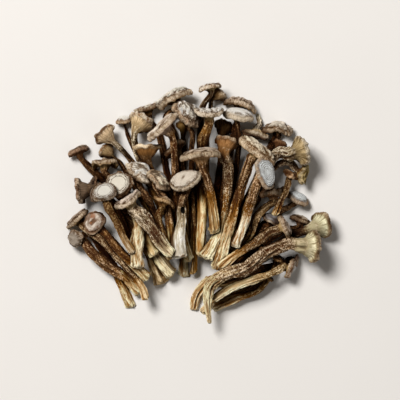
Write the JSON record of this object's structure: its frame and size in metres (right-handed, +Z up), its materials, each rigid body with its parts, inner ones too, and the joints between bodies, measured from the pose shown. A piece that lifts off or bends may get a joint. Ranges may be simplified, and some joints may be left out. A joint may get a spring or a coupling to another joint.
{
  "type": "dried mushroom bunch",
  "caption": "Fanned bunch of dried deer antler mushrooms lying flat, with shrivelled grey-brown stems meeting at the cut feet and small pale caps spread round the back and sides.",
  "frame": {"origin": "on the surface that the bunch lies on, under the middle of its box", "axes": "+Z up from the surface, +X to the right of the fan, +Y towards the caps at the back, away from the cut feet"},
  "size_m": [0.2004, 0.181, 0.041],
  "materials": {
    "pale": "matt, chalky grey-white",
    "grey": "matt, grey-brown, wrinkled",
    "tan": "matt, yellowish tan, fibrous",
    "brown": "matt, dark brown, wrinkled",
    "dark": "matt, near-black brown"
  },
  "bodies": {
    "root": {"left_hidden_cap": "brown", "left_grey_button": "grey", "left_far_cap": "dark", "left_small_trumpet": "tan", "left_pale_trumpet": "pale", "back_white_button": "pale", "left_wavy_bar": "tan", "back_left_bar": "pale", "back_hooked_cap": "pale", "back_yellow_gill": "tan", "back_gill_cap": "tan", "back_shaded_trumpet": "brown", "back_white_stem": "pale", "back_right_bar": "grey", "back_white_ellipse": "pale", "right_mottled_cap": "grey", "back_upturned_cap": "grey", "right_white_oval": "pale", "right_tucked_cap": "pale", "right_low_bar": "grey", "right_upper_trumpet": "pale", "right_dark_cap": "dark", "front_lens_foot": "tan", "front_outer_stem": "brown", "front_flat_foot": "tan", "front_bar_cap": "grey", "middle_pale_stem": "pale", "right_shell_cap": "brown", "right_wavy_cap": "tan", "right_short_stem": "tan", "right_crumpled_cap": "tan", "left_flared_foot": "tan", "left_dark_trumpet": "brown", "left_cream_foot": "pale", "left_small_cap": "grey", "left_thin_stem": "brown", "left_bar_cap": "grey", "left_spotted_cap": "pale", "bent_stem_trumpet": "tan", "small_tilted_cap": "tan", "back_wrinkled_cap": "pale", "thin_brown_stem": "brown", "back_crescent_cap": "pale", "long_pale_cap": "pale", "pale_thin_plate": "tan", "folded_white_cap": "pale", "brown_trumpet": "tan", "big_bar_cap": "grey", "right_large_trumpet": "grey", "tan_rolled_cap": "tan", "white_oval_cap": "pale", "right_grey_bar": "grey", "left_wide_disc": "pale", "left_front_disc": "pale", "beige_patched_cap": "tan", "brown_crescent": "brown", "wide_pale_cap": "pale", "left_crescent": "grey", "right_big_trumpet": "grey"}
  },
  "joints": []
}
